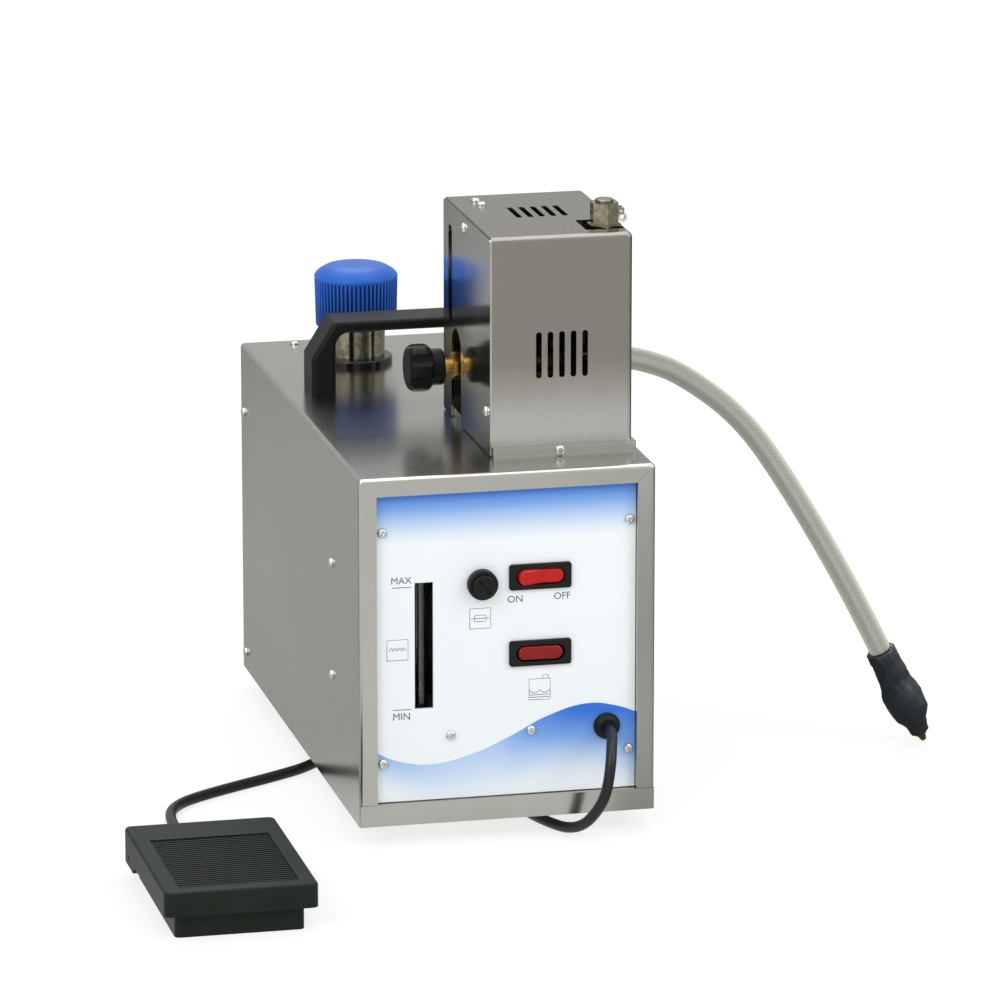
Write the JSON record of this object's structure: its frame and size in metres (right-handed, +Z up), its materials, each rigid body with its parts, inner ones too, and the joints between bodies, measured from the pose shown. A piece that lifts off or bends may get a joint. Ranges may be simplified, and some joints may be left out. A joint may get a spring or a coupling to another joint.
{
  "type": "jewelry steam cleaner",
  "caption": "Bench steam cleaner: folded steel case with panel, tank cap, vented tower with valve knob, steam hose with nozzle, and a foot pedal on a cord",
  "frame": {"origin": "on the bench, under the middle of the bounding box of the machine and its pedal, without the free hose and cord", "axes": "Z up, Y towards the back of the machine, X to the right seen from the front"},
  "size_m": [0.4931, 0.5729, 0.3434],
  "materials": {
    "stainless": "satin, folded sheet",
    "tower_steel": "satin, folded sheet",
    "polished_steel": "polished sheet",
    "screw_steel": "bright",
    "panel_print": "white enamel with a blue print",
    "black_plastic": "moulded, fine grain",
    "red_rocker": "gloss",
    "red_lens": "translucent",
    "fuse_glass": "clear with metal ends",
    "gauge_glass": "clear",
    "black_rubber": "matte",
    "blue_cap": "satin, ribbed",
    "tank_plastic": "natural",
    "hose_silicone": "translucent over a braid",
    "brass": "turned",
    "boiler_steel": "satin"
  },
  "bodies": {
    "machine": {"case_shell": "stainless", "base_tray": "stainless", "rubber_feet": "black_rubber", "rear_panel": "stainless", "case_screws": "screw_steel", "side_bracket": "stainless", "terminal_block": "black_plastic", "mains_inlet": "black_plastic", "front_panel": "panel_print", "panel_screws": "screw_steel", "switch_bezel": "black_plastic", "lamp_bezel": "black_plastic", "lamp_lens": "red_lens", "fuse_holder": "black_plastic", "level_tube": "gauge_glass", "level_fittings": "brass", "cord_grommet": "black_rubber", "carry_handle": "black_plastic", "handle_bolts": "screw_steel", "filler_neck": "tank_plastic", "neck_gasket": "black_rubber", "water_tank": "tank_plastic", "tower_base": "tower_steel", "tower_cover": "tower_steel", "tower_side": "polished_steel", "tower_screws": "screw_steel", "steam_valve": "brass", "packing_nut": "brass", "solenoid_coil": "black_plastic", "hose_fitting": "brass", "relief_valve": "brass", "boiler_vessel": "boiler_steel", "heating_element": "boiler_steel", "pressure_switch": "black_plastic", "feed_pump": "boiler_steel", "feed_pipes": "brass", "steam_hose": "hose_silicone", "hose_sleeve": "black_rubber", "nozzle_tip": "brass", "cord_front": "black_rubber", "cord_coil": "black_rubber", "cord_rear": "black_rubber", "pedal_gland": "black_rubber", "pedal_base": "black_plastic", "pedal_pin": "screw_steel", "pedal_switch": "black_plastic", "pedal_spring": "screw_steel"},
    "rocker": {"switch_rocker": "red_rocker"},
    "fuse_tray": {"fuse_link": "fuse_glass"},
    "fuse_knob": {"fuse_cap": "black_plastic"},
    "cap_carrier": {"cap_seal": "black_rubber"},
    "cap": {"filler_cap": "blue_cap"},
    "spindle": {"valve_spindle": "screw_steel"},
    "knob": {"valve_knob": "black_plastic"},
    "plunger": {"solenoid_plunger": "screw_steel"},
    "lever": {"relief_lever": "screw_steel"},
    "stem": {"relief_stem": "screw_steel"},
    "tread": {"pedal_plate": "black_plastic"},
    "button": {"pedal_button": "black_plastic"}
  },
  "joints": [
    {"name": "rocker_tilt", "type": "hinge", "parent": "machine", "child": "rocker", "pos_m": [0.08415, -0.09315, 0.1471], "axis": [0, 0, 1], "range_deg": [-16, 0]},
    {"name": "fuse_draw", "type": "slide", "parent": "machine", "child": "fuse_tray", "axis": [0, -1, 0], "range_m": [0, 0.035]},
    {"name": "fuse_cap_turn", "type": "hinge", "parent": "fuse_tray", "child": "fuse_knob", "pos_m": [0.05175, -0.09915, 0.1445], "axis": [0, -1, 0], "range_deg": [0, 60]},
    {"name": "cap_lift", "type": "slide", "parent": "machine", "child": "cap_carrier", "axis": [0, 0, 1], "range_m": [0, 0.06]},
    {"name": "cap_turn", "type": "hinge", "parent": "cap_carrier", "child": "cap", "pos_m": [0.03935, 0.17585, 0.25], "axis": [0, 0, 1], "range_deg": [0, 540]},
    {"name": "valve_travel", "type": "slide", "parent": "machine", "child": "spindle", "axis": [-1, 0, 0], "range_m": [0, 0.003]},
    {"name": "knob_turn", "type": "hinge", "parent": "spindle", "child": "knob", "pos_m": [0.04535, 0.01885, 0.239], "axis": [-1, 0, 0], "range_deg": [0, 722]},
    {"name": "plunger_lift", "type": "slide", "parent": "machine", "child": "plunger", "axis": [0, 0, 1], "range_m": [0, 0.003], "stiffness_N_per_m": 200, "springref_m": -0.005},
    {"name": "lever_lift", "type": "hinge", "parent": "machine", "child": "lever", "pos_m": [0.14055, -0.04415, 0.3366], "axis": [0, -1, 0], "range_deg": [0, 81]},
    {"name": "stem_lift", "type": "slide", "parent": "machine", "child": "stem", "axis": [0, 0, 1], "range_m": [0, 0.0015]},
    {"name": "pedal_press", "type": "hinge", "parent": "machine", "child": "tread", "pos_m": [-0.10855, -0.12675, 0.0128], "axis": [1, 0, 0], "range_deg": [0, 4], "stiffness_Nm_per_rad": 4, "springref_deg": -5.73, "deforming": ["pedal_spring"]},
    {"name": "button_press", "type": "slide", "parent": "machine", "child": "button", "axis": [0, 0, -1], "range_m": [0, 0.0022]}
  ],
  "couplings": [
    {"joint": "knob_turn", "follows": "valve_travel", "rad_per_m": 4188.8},
    {"joint": "lever_lift", "follows": "stem_lift", "rad_per_m": 930.84},
    {"joint": "button_press", "follows": "pedal_press", "m_per_rad": 0.03}
  ]
}
